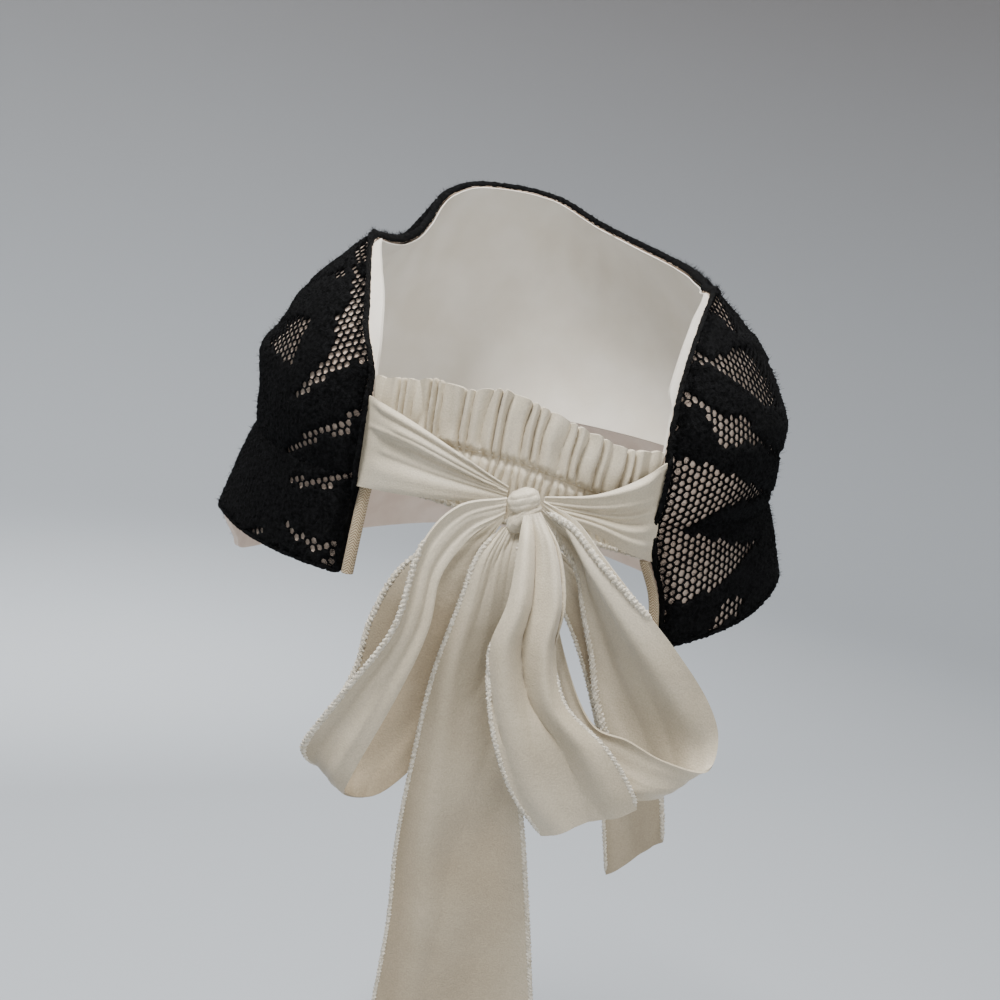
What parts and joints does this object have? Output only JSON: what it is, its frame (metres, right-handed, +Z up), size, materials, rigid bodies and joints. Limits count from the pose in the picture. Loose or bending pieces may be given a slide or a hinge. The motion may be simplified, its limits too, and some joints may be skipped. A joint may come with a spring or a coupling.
{
  "type": "sun visor hat",
  "caption": "Open-topped sun visor hat of black knitted lace over beige cloth, with a sloping peak and an ivory gathered back casing tied in a bow.",
  "frame": {"origin": "middle of the head opening, on the plane where the crown meets the peak", "axes": "+Y towards the peak at the front, +X the wearer's right, +Z up out of the open crown"},
  "size_m": [0.2021, 0.2744, 0.2491],
  "materials": {
    "lace": "black knitted wool-like lace, matt and fuzzy",
    "cloth": "beige plain-weave cloth, matt",
    "lining": "ivory lining, smooth",
    "silk": "ivory silk crepe, soft sheen",
    "twill": "beige herringbone twill, rolled"
  },
  "bodies": {
    "root": {"crown_lace": "lace", "crown_cloth": "cloth", "crown_lining": "lining", "visor_lace": "lace", "visor_cloth": "cloth", "left_end_hem": "twill", "right_end_hem": "twill", "back_casing": "silk", "left_tie": "silk", "right_tie": "silk", "bow_knot": "silk", "left_loop": "silk", "right_loop": "silk", "long_tail": "silk", "short_tail": "silk", "rear_tail": "silk"}
  },
  "joints": []
}
